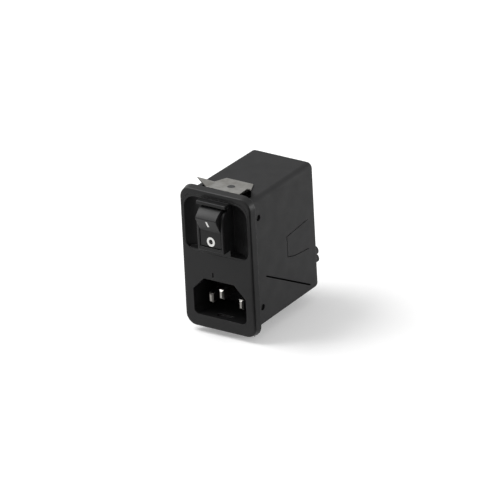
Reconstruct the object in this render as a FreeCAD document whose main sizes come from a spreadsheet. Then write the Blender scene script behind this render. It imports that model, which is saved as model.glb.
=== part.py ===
"""Panel inlet socket with a rocker switch and a fuse drawer, clipped into an equipment panel.

The origin is the centre of the flange's rear face, the plane of the panel. X points right and Z up as
seen from the front, and Y points back into the equipment, so the front of the flange faces -Y.
"""

import FreeCAD, Part
import math
import os
import Sketcher

# Every driving dimension, in millimetres or degrees.
DIMENSIONS = {
    # flange
    "flange_overhang_side": 2.05,
    "flange_overhang_end": 2.65,
    "flange_thickness": 3.0,
    "flange_corner": 5.1,
    "flange_edge_round": 1.7,
    # rear housing shell
    "shell_taper_width": 1.1,
    "shell_taper_height": 0.7,
    "shell_length": 44.4,
    "shell_wall": 1.0,
    "shell_rear_wall": 1.2,
    "shell_long_round": 2.5,
    "shell_rim_round": 1.7,
    "shell_gap": 0.15,
    # snap holes in the sides and the nubs behind them
    "snap_hole_radius": 1.35,
    "snap_nub_radius": 1.0,
    "snap_depth": 4.75,
    "snap_height": 18.95,
    "snap_reach": 0.8,
    # cut lines in the sides
    "latch_slot": 0.4,
    "latch_front": 23.6,
    "latch_rear": 38.4,
    "latch_front_top": 3.2,
    "latch_front_bottom": -5.4,
    "latch_rear_top": 4.6,
    "latch_rear_bottom": -7.7,
    "latch_bend": 28.7,
    "latch_bend_bottom": -6.8,
    "slit_width": 0.65,
    "slit_front": 8.1,
    "slit_front_height": -7.1,
    "slit_rear": 38.3,
    "slit_rear_height": -23.3,
    # notches in the roof and the floor under the panel clips
    "notch_front_half": 11.8,
    "notch_bend_half": 11.4,
    "notch_bend_depth": 5.2,
    "notch_rear_half": 7.8,
    "notch_room": 2.0,
    # two lobed boss on the rear face
    "boss_side": 10.4,
    "boss_upper_radius": 2.0,
    "boss_upper_height": -13.0,
    "boss_upper_reach": 3.3,
    "boss_lower_radius": 1.9,
    "boss_lower_height": -16.4,
    "boss_lower_reach": 3.6,
    # panel clips
    "clip_sheet": 0.45,
    "clip_rear_depth": 14.7,
    "clip_rear_half": 6.2,
    "clip_rear_root": 4.8,
    "clip_flat_depth": 9.6,
    "clip_flat_half": 8.5,
    "clip_flat_root": 6.9,
    "clip_bend_depth": 6.7,
    "clip_bend_half": 10.3,
    "clip_front_depth": 2.8,
    "clip_tip_half": 11.6,
    "clip_wing_root": 7.7,
    "clip_bend_mid_rise": 0.25,
    "clip_bend_edge_rise": 1.9,
    "clip_front_mid_rise": 0.8,
    "clip_tip_rise": 4.1,
    "clip_hole_radius": 1.6,
    "stake_radius": 1.45,
    "stake_setback": 1.9,
    "stake_boss_radius": 1.8,
    # inlet cavity
    "inlet_bottom_margin": 3.0,
    "inlet_side_margin": 0.27,
    "inlet_width": 24.4,
    "inlet_height": 15.9,
    "inlet_depth": 16.5,
    "inlet_chamfer": 5.2,
    "inlet_corner": 2.2,
    "inlet_wall": 1.0,
    "inlet_floor": 1.5,
    "catch_width": 7.0,
    "catch_front": 2.0,
    "catch_length": 2.2,
    "catch_depth": 0.6,
    # contact blades of the inlet
    "blade_thickness": 2.0,
    "blade_height": 4.0,
    "blade_spacing": 7.0,
    "blade_stagger": 2.0,
    "blade_recess": 3.9,
    "earth_recess": 0.95,
    "blade_chamfer": 0.6,
    "blade_fit": 0.05,
    "blade_shoulder": 1.0,
    "blade_shoulder_margin": 0.6,
    "blade_tail": 5.0,
    "blade_tail_thickness": 0.8,
    "blade_tail_height": 3.0,
    "retainer_thickness": 1.5,
    "retainer_overlap": 0.2,
    "retainer_end_gap": 0.25,
    "retainer_rail": 1.2,
    # marker slot above the inlet
    "marker_side": -2.6,
    "marker_gap": 1.05,
    "marker_length": 2.2,
    "marker_width": 0.6,
    "marker_depth": 0.5,
    # drawer bay
    "bay_wall": 0.7,
    "bay_above_inlet": 11.9,
    "bay_top_margin": 1.7,
    "bay_roof": 0.48,
    "carrier_gap": 3.1,
    # fuse drawer
    "slide_gap": 0.15,
    "lip_side_overlap": 2.23,
    "lip_bottom_overlap": 0.55,
    "lip_top_overlap": 1.55,
    "lip_corner": 4.9,
    "lip_thickness": 1.8,
    "lip_gap": 0.12,
    "drawer_skirt": 0.8,
    "scoop_side_land": 0.4,
    "scoop_bottom_land": 0.65,
    "scoop_top_land": 0.75,
    "scoop_top_corner": 5.6,
    "scoop_bottom_corner": 2.8,
    "scoop_depth": 3.3,
    "scoop_bottom_slope": 1.1,
    "scoop_top_slope": 0.5,
    "drawer_floor": 1.0,
    "drawer_side_wall": 0.62,
    "drawer_bottom_wall": 0.7,
    "drawer_top_wall": 0.44,
    # raised hood around the rocker
    "hood_wall": 1.2,
    "hood_reach": 4.1,
    "hood_sill": 0.8,
    "hood_cheek_rise": 3.6,
    "hood_round": 0.5,
    "ledge_half": 6.8,
    "ledge_reach": 3.0,
    "ledge_rise": 0.1,
    "ledge_round": 0.35,
    "window_side_gap": 0.3,
    "window_margin": 0.3,
    "window_end_wall": 0.45,
    # rocker and its pivot
    "pivot_rise": 1.25,
    "rocker_half": 4.7,
    "rocker_radius": 8.6,
    "rocker_crest_reach": 5.6,
    "rocker_swing": 27.0,
    "rocker_skirt": 1.8,
    "rocker_side_wall": 1.0,
    "rocker_face_wall": 0.95,
    "rocker_crest_wall": 1.6,
    "rocker_end_wall": 0.4,
    "rocker_crest_round": 0.35,
    "axle_radius": 1.0,
    "axle_fit": 0.05,
    "post_side_gap": 0.3,
    "post_nose": 1.9,
    # switch body
    "switch_end_gap": 0.6,
    "switch_front_gap": 2.4,
    "switch_back_reach": 6.5,
    "switch_flange_margin": 1.1,
    "switch_flange": 1.0,
    "switch_fit": 0.1,
    "switch_tab_side": 2.6,
    "switch_tab_rise": 4.2,
    "switch_tab_reach": 5.5,
    "switch_tab_thickness": 0.8,
    "switch_tab_height": 4.8,
    # carrier plate behind the bay
    "carrier_thickness": 1.5,
    # fuses
    "fuse_front_gap": 0.9,
    "fuse_length": 20.0,
    "fuse_end_gap": 0.08,
    "fuse_cap_radius": 2.6,
    "fuse_cap_length": 5.0,
    "fuse_cap_sheet": 0.13,
    "fuse_cap_end": 0.35,
    "fuse_glass_radius": 2.45,
    "fuse_glass_wall": 0.45,
    "fuse_wire_radius": 0.15,
    "cradle_length": 6.0,
    "cradle_gap": 0.1,
    "cradle_reach": 1.5,
    "cradle_mouth_half": 2.2,
    # fuse clips
    "clip_grip_gap": 0.04,
    "clip_leaf": 0.3,
    "clip_leaf_height": 3.6,
    "clip_leaf_reach": 1.5,
    "fuse_pocket_half": 3.1,
    "fuse_pocket_wall": 0.8,
    "clip_base_half": 2.2,
    "clip_base_thickness": 0.6,
    "clip_tail_reach": 3.5,
    "clip_tail_thickness": 0.5,
    "clip_tail_height": 2.8,
    # connector tabs on the rear face
    "tab_thickness": 0.8,
    "tab_height": 6.3,
    "tab_reach": 6.6,
    "tab_side": 6.0,
    "tab_rise": 2.0,
    "earth_tab_drop": 14.0,
    "tab_shoulder": 1.0,
    "tab_shoulder_margin": 1.2,
    "tab_tail": 4.0,
    "tab_hole_radius": 0.8,
    "tab_frame": 0.9,
    "tab_frame_rise": 0.8,
}

# The most of a plate's thickness that the rounding of its edge takes.
EDGE_SHARE = 0.7
# The most of a blade's thickness that the chamfer on its tip takes.
TIP_SHARE = 0.4
# An edge longer than this runs along the part and isn't one of its short corners.
LONG_EDGE = 1.0
# How far a cutting solid stands out of what it cuts.
CLEAR = 1.0
# The slack in a comparison of two places.
SMALL = 0.02

doc = FreeCAD.newDocument("panel_inlet_socket")
sheet = doc.addObject("Spreadsheet::Sheet", "Sizes")


class Size:
    """A length or angle that keeps both its value and the sheet formula that gives it."""

    def __init__(self, value, formula):
        self.value = value
        self.formula = formula

    def __add__(self, other):
        return joined(self, other, "+", self.value + size(other).value)

    def __radd__(self, other):
        return size(other) + self

    def __sub__(self, other):
        return joined(self, other, "-", self.value - size(other).value)

    def __rsub__(self, other):
        return size(other) - self

    def __mul__(self, other):
        return joined(self, other, "*", self.value * size(other).value)

    def __rmul__(self, other):
        return size(other) * self

    def __truediv__(self, other):
        return joined(self, other, "/", self.value / size(other).value)

    def __neg__(self):
        return 0 - self


def size(thing):
    """A plain number as a Size."""
    if isinstance(thing, Size):
        return thing
    return Size(float(thing), str(float(thing)))


def joined(left, right, sign, value):
    """The Size that two sizes make with an arithmetic sign."""
    return Size(value, f"({size(left).formula} {sign} {size(right).formula})")


def sine(angle):
    """The sine of an angle in degrees."""
    return Size(math.sin(math.radians(angle.value)), f"sin({angle.formula})")


def cosine(angle):
    """The cosine of an angle in degrees."""
    return Size(math.cos(math.radians(angle.value)), f"cos({angle.formula})")


def root(area):
    """The square root of a size."""
    return Size(math.sqrt(area.value), f"sqrt({area.formula})")


def smaller(first, second):
    """The smaller of two sizes."""
    return Size(min(first.value, second.value), f"min({first.formula}; {second.formula})")


def larger(first, second):
    """The larger of two sizes."""
    return Size(max(first.value, second.value), f"max({first.formula}; {second.formula})")


def fill_sheet():
    """Writes the driving dimensions to the sheet and returns them by name."""
    named = {}
    for row, (name, number) in enumerate(DIMENSIONS.items(), start=1):
        sheet.set(f"A{row}", name)
        sheet.set(f"B{row}", str(number))
        sheet.setAlias(f"B{row}", name)
        named[name] = Size(float(number), f"Sizes.{name}")
    doc.recompute()
    return named


class Names:
    """The driving dimensions as attributes."""

    def __init__(self, named):
        self.__dict__.update(named)


d = Names(fill_sheet())
ZERO = size(0)
nodes = []


def node(thing, label):
    """Marks a document object as a finished sub-part and gives it its label."""
    thing.Label = label
    nodes.append(thing)
    return thing


def bind(thing, where, value):
    """Ties one property of an object to the sheet."""
    thing.setExpression(where, size(value).formula)


# Sketches


def origin_plane(body, role):
    """One of a body's own origin planes."""
    for feature in body.Origin.OriginFeatures:
        if feature.Role == role:
            return feature
    raise ValueError(role)


# Each view direction has its origin plane and the sign between its normal and the axis.
PLANES = {"x": ("YZ_Plane", 1), "y": ("XZ_Plane", -1), "z": ("XY_Plane", 1)}


def new_sketch(body, name, axis, level):
    """An empty sketch across an axis, at a level on it."""
    role, sign = PLANES[axis]
    sketch = body.newObject("Sketcher::SketchObject", name)
    sketch.AttachmentSupport = [(origin_plane(body, role), "")]
    sketch.MapMode = "FlatFace"
    bind(sketch, "AttachmentOffset.Base.z", size(level) * sign)
    return sketch


def arc_between(start, end, radius):
    """A short arc from start to end, to the right of the way for a positive radius, else to the left."""
    chord = end - start
    half = chord.Length / 2
    side = FreeCAD.Vector(-chord.y, chord.x, 0).normalize() * (1 if radius > 0 else -1)
    centre = (start + end) / 2 + side * math.sqrt(max(radius * radius - half * half, 0))
    first, last = (start, end) if radius > 0 else (end, start)
    low = math.atan2(first.y - centre.y, first.x - centre.x)
    high = math.atan2(last.y - centre.y, last.x - centre.x)
    if high < low:
        high += 2 * math.pi
    circle = Part.Circle(centre, FreeCAD.Vector(0, 0, 1), abs(radius))
    return Part.ArcOfCircle(circle, low, high)


def hold(sketch, kind, *where):
    """Adds a constraint whose value, the last argument, is tied to the sheet."""
    value = size(where[-1])
    index = sketch.addConstraint(Sketcher.Constraint(kind, *where[:-1], value.value))
    sketch.setExpression(f"Constraints[{index}]", value.formula)


def outline(body, name, axis, level, corners):
    """A closed outline. A corner is (u, v), or (u, v, radius) where an arc leads on to the next corner."""
    sketch = new_sketch(body, name, axis, level)
    count = len(corners)
    ends = []
    for index, corner in enumerate(corners):
        following = corners[(index + 1) % count]
        start = FreeCAD.Vector(size(corner[0]).value, size(corner[1]).value, 0)
        end = FreeCAD.Vector(size(following[0]).value, size(following[1]).value, 0)
        backward = len(corner) > 2 and corner[2].value < 0
        if len(corner) > 2:
            sketch.addGeometry(arc_between(start, end, corner[2].value), False)
        else:
            sketch.addGeometry(Part.LineSegment(start, end), False)
        ends.append((2, 1) if backward else (1, 2))
    for index, corner in enumerate(corners):
        following = (index + 1) % count
        here, there = ends[index]
        sketch.addConstraint(Sketcher.Constraint("Coincident", index, there, following, ends[following][0]))
        hold(sketch, "DistanceX", -1, 1, index, here, corner[0])
        hold(sketch, "DistanceY", -1, 1, index, here, corner[1])
        if len(corner) > 2:
            hold(sketch, "Radius", index, -corner[2] if corner[2].value < 0 else corner[2])
    return sketch


def disc(body, name, axis, level, across, up, radius):
    """A circle."""
    sketch = new_sketch(body, name, axis, level)
    centre = FreeCAD.Vector(size(across).value, size(up).value, 0)
    sketch.addGeometry(Part.Circle(centre, FreeCAD.Vector(0, 0, 1), radius.value), False)
    hold(sketch, "DistanceX", -1, 1, 0, 3, across)
    hold(sketch, "DistanceY", -1, 1, 0, 3, up)
    hold(sketch, "Radius", 0, radius)
    return sketch


def rectangle(left, right, bottom, top):
    """The corners of an upright rectangle."""
    return [(left, bottom), (right, bottom), (right, top), (left, top)]


def centred(width, height, across=ZERO, up=ZERO):
    """The corners of a rectangle about a centre."""
    return rectangle(across - width / 2, across + width / 2, up - height / 2, up + height / 2)


def rounded(left, right, bottom, top, radius):
    """The corners of a rectangle whose four corners are arcs."""
    return [
        (left + radius, bottom),
        (right - radius, bottom, radius),
        (right, bottom + radius),
        (right, top - radius, radius),
        (right - radius, top),
        (left + radius, top, radius),
        (left, top - radius),
        (left, bottom + radius, radius),
    ]


# Features


def raise_between(body, name, axis, shape, low, high):
    """Adds material between two levels. The shape is a list of corners, or (across, up, radius)."""
    start = high if axis == "y" else low
    sketch = draw(body, name, axis, start, shape)
    feature = body.newObject("PartDesign::Pad", name)
    feature.Profile = sketch
    bind(feature, "Length", size(high) - low)
    return feature


def sink_between(body, name, axis, shape, low, high):
    """Takes material away between two levels on an axis."""
    start = low if axis == "y" else high
    sketch = draw(body, name, axis, start, shape)
    feature = body.newObject("PartDesign::Pocket", name)
    feature.Profile = sketch
    bind(feature, "Length", size(high) - low)
    return feature


def draw(body, name, axis, level, shape):
    """The sketch of a list of corners, or of a circle given as (across, up, radius)."""
    if isinstance(shape, tuple):
        return disc(body, name + "_sketch", axis, level, *shape)
    return outline(body, name + "_sketch", axis, level, shape)


def loft_between(body, name, kind, sketches, ruled=False):
    """A loft through sketches, adding or taking away material."""
    feature = body.newObject(kind, name)
    feature.Profile = sketches[0]
    feature.Sections = sketches[1:]
    feature.Ruled = ruled
    return feature


def edge_names(shape, wanted):
    """The names of the edges whose boxes a test picks."""
    names = []
    for index, edge in enumerate(shape.Edges, start=1):
        if wanted(edge.BoundBox):
            names.append(f"Edge{index}")
    return names


def close(value, target):
    """Whether a number is at a size."""
    return abs(value - size(target).value) < SMALL


def dress(body, name, kind, wanted, amount):
    """A fillet or chamfer on the edges of the body so far that a test picks."""
    doc.recompute()
    base = body.Tip
    names = edge_names(base.Shape, wanted)
    if not names:
        raise ValueError(f"{name} finds no edge")
    feature = body.newObject(kind, name)
    feature.Base = (base, names)
    bind(feature, "Radius" if kind.endswith("Fillet") else "Size", amount)
    return feature


def new_body(label):
    """A body that becomes one sub-part."""
    return node(doc.addObject("PartDesign::Body", label), label)


def block(name, x, y, z):
    """A box between two levels on each axis."""
    box = doc.addObject("Part::Box", name)
    for prop, (low, high) in zip(("Length", "Width", "Height"), (x, y, z)):
        bind(box, prop, size(high) - low)
    for prop, (low, high) in zip("xyz", (x, y, z)):
        bind(box, f"Placement.Base.{prop}", low)
    return box


# How far an axis is turned from upright for a cylinder that lies along it.
TURNS = {
    "x": FreeCAD.Rotation(FreeCAD.Vector(0, 1, 0), 90),
    "y": FreeCAD.Rotation(FreeCAD.Vector(1, 0, 0), -90),
    "z": FreeCAD.Rotation(),
}


def rod(name, axis, radius, length, x, y, z):
    """A cylinder that starts at a point and runs along an axis."""
    cylinder = doc.addObject("Part::Cylinder", name)
    cylinder.Placement = FreeCAD.Placement(FreeCAD.Vector(), TURNS[axis])
    bind(cylinder, "Radius", radius)
    bind(cylinder, "Height", length)
    for prop, value in zip("xyz", (x, y, z)):
        bind(cylinder, f"Placement.Base.{prop}", value)
    return cylinder


def cut(name, base, tool):
    """One object less another."""
    thing = doc.addObject("Part::Cut", name)
    thing.Base = base
    thing.Tool = tool
    return thing


def fused(name, *shapes):
    """Several objects as one."""
    thing = doc.addObject("Part::MultiFuse", name)
    thing.Shapes = list(shapes)
    thing.Refine = True
    return thing


def together(name, *shapes):
    """Several separate solids in one sub-part."""
    thing = doc.addObject("Part::Compound", name)
    thing.Links = list(shapes)
    return thing


def common(name, first, second):
    """What two objects share."""
    thing = doc.addObject("Part::Common", name)
    thing.Base = first
    thing.Tool = second
    return thing


# Places that several sub-parts share. Widths and heights build up from the fuses, the rocker and the inlet.

front = -d.flange_thickness
window_half = d.rocker_half + d.window_side_gap
window_reach = d.rocker_radius + d.window_margin
hood_half = window_half + d.hood_wall
fuse_side = window_half + d.fuse_pocket_wall + d.fuse_pocket_half
drawer_half = fuse_side + d.fuse_pocket_half + d.drawer_side_wall
bay_half = drawer_half + d.slide_gap
fuse_depth = front + d.scoop_depth + d.drawer_floor + d.fuse_front_gap + d.fuse_cap_radius
chassis_depth = fuse_depth + d.fuse_cap_radius + d.carrier_gap
inlet_half_room = d.inlet_width / 2 + d.inlet_wall + d.inlet_side_margin
chassis_half = larger(bay_half + d.bay_wall, inlet_half_room)
shell_draft = d.shell_taper_width / 2 * chassis_depth / d.shell_length
shell_front_half = chassis_half + d.shell_gap + d.shell_wall + shell_draft
fuse_room = d.fuse_length + d.fuse_end_gap * 2 + d.drawer_bottom_wall + d.drawer_top_wall
window_room = (window_reach + d.pivot_rise + d.window_end_wall) * 2
bay_height = larger(fuse_room, window_room) + d.slide_gap * 2
inlet_room = d.inlet_bottom_margin + d.inlet_height
shell_front_height = inlet_room + d.bay_above_inlet + bay_height + d.bay_top_margin
inlet_z = d.inlet_bottom_margin + d.inlet_height / 2 - shell_front_height / 2
inlet_floor_front = front + d.inlet_depth
inlet_floor_rear = inlet_floor_front + d.inlet_floor
bay_top = shell_front_height / 2 - d.bay_top_margin
bay_bottom = bay_top - bay_height
chassis_top = bay_top + d.bay_roof
drawer_bottom = bay_bottom + d.slide_gap
drawer_top = bay_top - d.slide_gap
drawer_depth = fuse_depth + d.drawer_skirt
lip_half = bay_half + d.lip_side_overlap
lip_bottom = bay_bottom - d.lip_bottom_overlap
lip_top = bay_top + d.lip_top_overlap
lip_rear = front + d.lip_thickness
scoop_half = lip_half - d.scoop_side_land
scoop_bottom = lip_bottom + d.scoop_bottom_land
scoop_top = lip_top - d.scoop_top_land
pivot_height = (bay_top + bay_bottom) / 2 + d.pivot_rise
switch_half_height = window_reach - d.switch_end_gap
switch_front = front + d.rocker_skirt + d.switch_front_gap
switch_rear = chassis_depth + d.switch_back_reach
post_half = d.rocker_half - d.rocker_side_wall - d.post_side_gap
carrier_front = chassis_depth
carrier_rear = chassis_depth + d.carrier_thickness
retainer_front = inlet_floor_rear + d.blade_shoulder
retainer_width = d.inlet_width + d.retainer_overlap * 2
retainer_height = d.inlet_height - d.retainer_end_gap * 2
shell_rear_inside = d.shell_length - d.shell_rear_wall
fuse_bottom = drawer_bottom + d.drawer_bottom_wall + d.fuse_end_gap
fuse_middle = fuse_bottom + d.fuse_length / 2
fuse_top = fuse_bottom + d.fuse_length
clip_hole_depth = chassis_depth - d.stake_setback


def shell_half_width(depth):
    """Half of the shell's outside width at a depth behind the panel."""
    return shell_front_half - d.shell_taper_width / 2 * depth / d.shell_length


def shell_half_height(depth):
    """Half of the shell's outside height at a depth behind the panel."""
    return (shell_front_height - d.shell_taper_height * depth / d.shell_length) / 2


clip_seat = shell_half_height(d.clip_flat_depth) + d.shell_gap / 3


def inlet_outline(grow):
    """The inlet's outline with two slanted upper corners, grown outward by a wall."""
    half = d.inlet_width / 2 + grow
    bottom = inlet_z - d.inlet_height / 2 - grow
    top = inlet_z + d.inlet_height / 2 + grow
    # A slanted side stays one wall thick when its corners move by this share of the wall.
    slant = d.inlet_chamfer + grow * (2 - math.sqrt(2))
    lower = [(-half, bottom), (half, bottom)]
    upper = [(half, top - slant), (half - slant, top), (slant - half, top), (-half, top - slant)]
    return lower + upper


def make_front_bezel():
    """The moulded front: flange, inlet well, drawer bay, snap nubs and the stakes for the panel clips."""
    body = new_body("front_bezel")
    half = shell_front_half + d.flange_overhang_side
    tall = shell_front_height / 2 + d.flange_overhang_end
    raise_between(body, "flange", "y", rectangle(-half, half, -tall, tall), front, ZERO)
    dress(body, "flange_corners", "PartDesign::Fillet",
          lambda box: close(abs(box.XMin), half) and close(abs(box.ZMin), tall) and box.YLength > LONG_EDGE,
          d.flange_corner)
    dress(body, "flange_edge", "PartDesign::Fillet",
          lambda box: close(box.YMin, front) and close(box.YMax, front),
          smaller(d.flange_edge_round, d.flange_thickness * EDGE_SHARE))
    raise_between(body, "inlet_well", "y", inlet_outline(d.inlet_wall), ZERO, inlet_floor_rear)
    bay_frame = rectangle(-chassis_half, chassis_half, bay_bottom - d.bay_wall, chassis_top)
    raise_between(body, "bay_frame", "y", bay_frame, ZERO, chassis_depth)
    upper_corners = chassis_top - SMALL
    dress(body, "bay_frame_corners", "PartDesign::Chamfer",
          lambda box: box.YLength > LONG_EDGE and box.ZMin > upper_corners.value and close(box.YMin, ZERO),
          d.shell_long_round - d.shell_wall)
    sink_between(body, "inlet_cavity", "y", inlet_outline(ZERO), front, inlet_floor_front)
    cavity_bottom = inlet_z - d.inlet_height / 2
    dress(body, "inlet_corners", "PartDesign::Fillet",
          lambda box: box.YLength > LONG_EDGE and close(box.ZMax, cavity_bottom),
          d.inlet_corner)
    catch = centred(d.catch_width, d.catch_depth * 2, ZERO, cavity_bottom)
    catch_front = front + d.catch_front
    sink_between(body, "cord_catch", "y", catch, catch_front, catch_front + d.catch_length)
    gap = d.lip_gap
    seat_half = lip_half + gap
    seat = rounded(-seat_half, seat_half, lip_bottom - gap, lip_top + gap, d.lip_corner + gap)
    sink_between(body, "drawer_seat", "y", seat, front, lip_rear)
    bay = rectangle(-bay_half, bay_half, bay_bottom, bay_top)
    sink_between(body, "drawer_bay", "y", bay, front, chassis_depth)
    marker_bottom = inlet_z + d.inlet_height / 2 + d.marker_gap
    marker = centred(d.marker_width, d.marker_length, d.marker_side, marker_bottom + d.marker_length / 2)
    sink_between(body, "marker_slot", "y", marker, front, front + d.marker_depth)
    for index, (height, side) in enumerate(blade_places(), start=1):
        slot = centred(d.blade_thickness + d.blade_fit * 2, d.blade_height + d.blade_fit * 2, side, height)
        sink_between(body, f"blade_slot_{index}", "y", slot, inlet_floor_front, inlet_floor_rear)
    nub_reach = shell_half_width(d.snap_depth) - d.snap_reach
    for name, root_half, height in (("upper", chassis_half, d.snap_height),
                                    ("lower", d.inlet_width / 2 + d.inlet_wall, -d.snap_height)):
        inward = root_half - d.bay_wall / 2
        nub = (d.snap_depth, height, d.snap_nub_radius)
        raise_between(body, f"{name}_right_nub", "x", nub, inward, nub_reach)
        raise_between(body, f"{name}_left_nub", "x", nub, -nub_reach, -inward)
    boss = (ZERO, clip_hole_depth, d.stake_boss_radius)
    peg = (ZERO, clip_hole_depth, d.stake_radius)
    peg_tip = clip_seat + d.clip_sheet + d.clip_bend_mid_rise / 2
    upper_root = chassis_top - d.bay_roof / 2
    lower_root = cavity_bottom - d.inlet_wall / 2
    raise_between(body, "upper_stake_boss", "z", boss, upper_root, clip_seat)
    raise_between(body, "upper_stake", "z", peg, upper_root, peg_tip)
    raise_between(body, "lower_stake_boss", "z", boss, -clip_seat, lower_root)
    raise_between(body, "lower_stake", "z", peg, -peg_tip, lower_root)
    return body


def blade_places():
    """The height and the side of the earth, line and neutral blades."""
    low = inlet_z - d.blade_stagger
    return ((inlet_z + d.blade_stagger, ZERO), (low, d.blade_spacing), (low, -d.blade_spacing))


def strip(start, end, width):
    """The corners of a straight slot between two points."""
    along = root((end[0] - start[0]) * (end[0] - start[0]) + (end[1] - start[1]) * (end[1] - start[1]))
    across = (end[1] - start[1]) * width / 2 / along
    up = (end[0] - start[0]) * width / 2 / along
    return [
        (start[0] + across, start[1] - up),
        (end[0] + across, end[1] - up),
        (end[0] - across, end[1] + up),
        (start[0] - across, start[1] + up),
    ]


def wedge(body, name, kind, wall, low, high):
    """The shell's tapered block between two depths, made smaller all round by a wall."""
    feature = body.newObject(kind, name)
    for prop, value in (("Ymin", low), ("Ymax", high)):
        bind(feature, prop, value)
    for prefix, depth in (("", low), ("2", high)):
        half = shell_half_width(depth) - wall
        tall = shell_half_height(depth) - wall
        for axis, reach in (("X", half), ("Z", tall)):
            bind(feature, f"{axis}{prefix}min", -reach)
            bind(feature, f"{axis}{prefix}max", reach)
    return feature


def make_housing_shell():
    """The tapered rear housing, closed behind, with its snap holes, cut lines, tab frames and rear boss."""
    body = new_body("housing_shell")
    wedge(body, "outside", "PartDesign::AdditiveWedge", ZERO, ZERO, d.shell_length)
    dress(body, "long_edges", "PartDesign::Fillet",
          lambda box: close(box.YMin, ZERO) and close(box.YMax, d.shell_length),
          d.shell_long_round)
    wedge(body, "inside", "PartDesign::SubtractiveWedge", d.shell_wall, ZERO, shell_rear_inside)
    dress(body, "inside_long_edges", "PartDesign::Fillet",
          lambda box: close(box.YMin, ZERO) and close(box.YMax, shell_rear_inside),
          d.shell_long_round - d.shell_wall)
    dress(body, "rear_rim", "PartDesign::Fillet",
          lambda box: close(box.YMin, d.shell_length) and close(box.YMax, d.shell_length),
          d.shell_rim_round)
    half_rear = shell_half_width(shell_rear_inside) - d.shell_wall
    tall_rear = shell_half_height(shell_rear_inside) - d.shell_wall
    notch_rear = clip_hole_depth + d.notch_room
    notch = [
        (-d.notch_front_half, -d.shell_wall),
        (d.notch_front_half, -d.shell_wall),
        (d.notch_bend_half, d.notch_bend_depth),
        (d.notch_rear_half, notch_rear),
        (-d.notch_rear_half, notch_rear),
        (-d.notch_bend_half, d.notch_bend_depth),
    ]
    above = shell_half_height(ZERO) + d.shell_wall
    below = tall_rear - d.shell_wall
    sink_between(body, "upper_notch", "z", notch, below, above)
    sink_between(body, "lower_notch", "z", notch, -above, -below)
    outer = shell_half_width(ZERO) + d.shell_wall
    inner = half_rear - d.shell_wall
    corner_top = (d.latch_front, d.latch_front_top)
    corner_bottom = (d.latch_front, d.latch_front_bottom)
    bend = (d.latch_bend, d.latch_bend_bottom)
    overlap = d.latch_slot / 2
    lines = {
        "latch_upper": strip(corner_top, (d.latch_rear, d.latch_rear_top), d.latch_slot),
        "latch_lower": strip(corner_bottom, bend, d.latch_slot),
        "latch_lower_rear": strip(bend, (d.latch_rear, d.latch_rear_bottom), d.latch_slot),
        "latch_front_cut": rectangle(d.latch_front - overlap, d.latch_front + overlap,
                                     d.latch_front_bottom - overlap, d.latch_front_top + overlap),
        "slit": strip((d.slit_front, d.slit_front_height), (d.slit_rear, d.slit_rear_height), d.slit_width),
        "upper_snap_hole": (d.snap_depth, d.snap_height, d.snap_hole_radius),
        "lower_snap_hole": (d.snap_depth, -d.snap_height, d.snap_hole_radius),
    }
    for name, shape in lines.items():
        sink_between(body, f"right_{name}", "x", shape, inner, outer)
        sink_between(body, f"left_{name}", "x", shape, -outer, -inner)
    wall_middle = d.shell_length - d.shell_rear_wall / 2
    for index, (side, height) in enumerate(tab_places(), start=1):
        wide = d.tab_thickness + d.blade_fit * 2
        tall = d.tab_height + d.blade_fit * 2
        frame = centred(wide + d.tab_frame * 2, tall + d.tab_frame * 2, side, height)
        raise_between(body, f"tab_frame_{index}", "y", frame, wall_middle, d.shell_length + d.tab_frame_rise)
        sink_between(body, f"tab_slot_{index}", "y", centred(wide, tall, side, height),
                     shell_rear_inside - d.shell_wall, d.shell_length + d.tab_frame_rise + d.shell_wall)
    lobes = (
        ("upper_lobe", d.boss_upper_height, d.boss_upper_radius, d.boss_upper_reach),
        ("lower_lobe", d.boss_lower_height, d.boss_lower_radius, d.boss_lower_reach),
    )
    for name, height, radius, reach in lobes:
        raise_between(body, name, "y", (d.boss_side, height, radius), wall_middle, d.shell_length + reach)
    return body


def tab_places():
    """The side and the height of the earth, line and neutral tabs on the rear face."""
    return ((ZERO, -d.earth_tab_drop), (d.tab_side, d.tab_rise), (-d.tab_side, d.tab_rise))


def make_panel_clip(label, sign):
    """A spring clip of thin sheet: flat at the rear, its wings bent up in front to bite behind the panel."""
    body = new_body(label)
    stations = (
        (d.clip_rear_depth, d.clip_rear_half, d.clip_rear_root, ZERO, ZERO),
        (d.clip_flat_depth, d.clip_flat_half, d.clip_flat_root, ZERO, ZERO),
        (d.clip_bend_depth, d.clip_bend_half, d.clip_wing_root, d.clip_bend_mid_rise, d.clip_bend_edge_rise),
        (d.clip_front_depth, d.clip_tip_half, d.clip_wing_root, d.clip_front_mid_rise, d.clip_tip_rise),
    )
    sections = []
    for index, (depth, half, root_half, middle, edge) in enumerate(stations, start=1):
        low = [
            (-half, clip_seat + edge),
            (-root_half, clip_seat + middle),
            (root_half, clip_seat + middle),
            (half, clip_seat + edge),
        ]
        high = [(across, up + d.clip_sheet) for across, up in reversed(low)]
        corners = [(across, up * sign) for across, up in low + high]
        sections.append(outline(body, f"{label}_station_{index}", "y", depth, corners))
    loft_between(body, "sheet", "PartDesign::AdditiveLoft", sections, ruled=True)
    hole = (ZERO, clip_hole_depth, d.clip_hole_radius)
    above = clip_seat + d.clip_sheet * 2 + d.clip_bend_edge_rise
    below = clip_seat - d.clip_sheet
    low, high = (below, above) if sign > 0 else (-above, -below)
    sink_between(body, "stake_hole", "z", hole, low, high)
    return body


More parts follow.
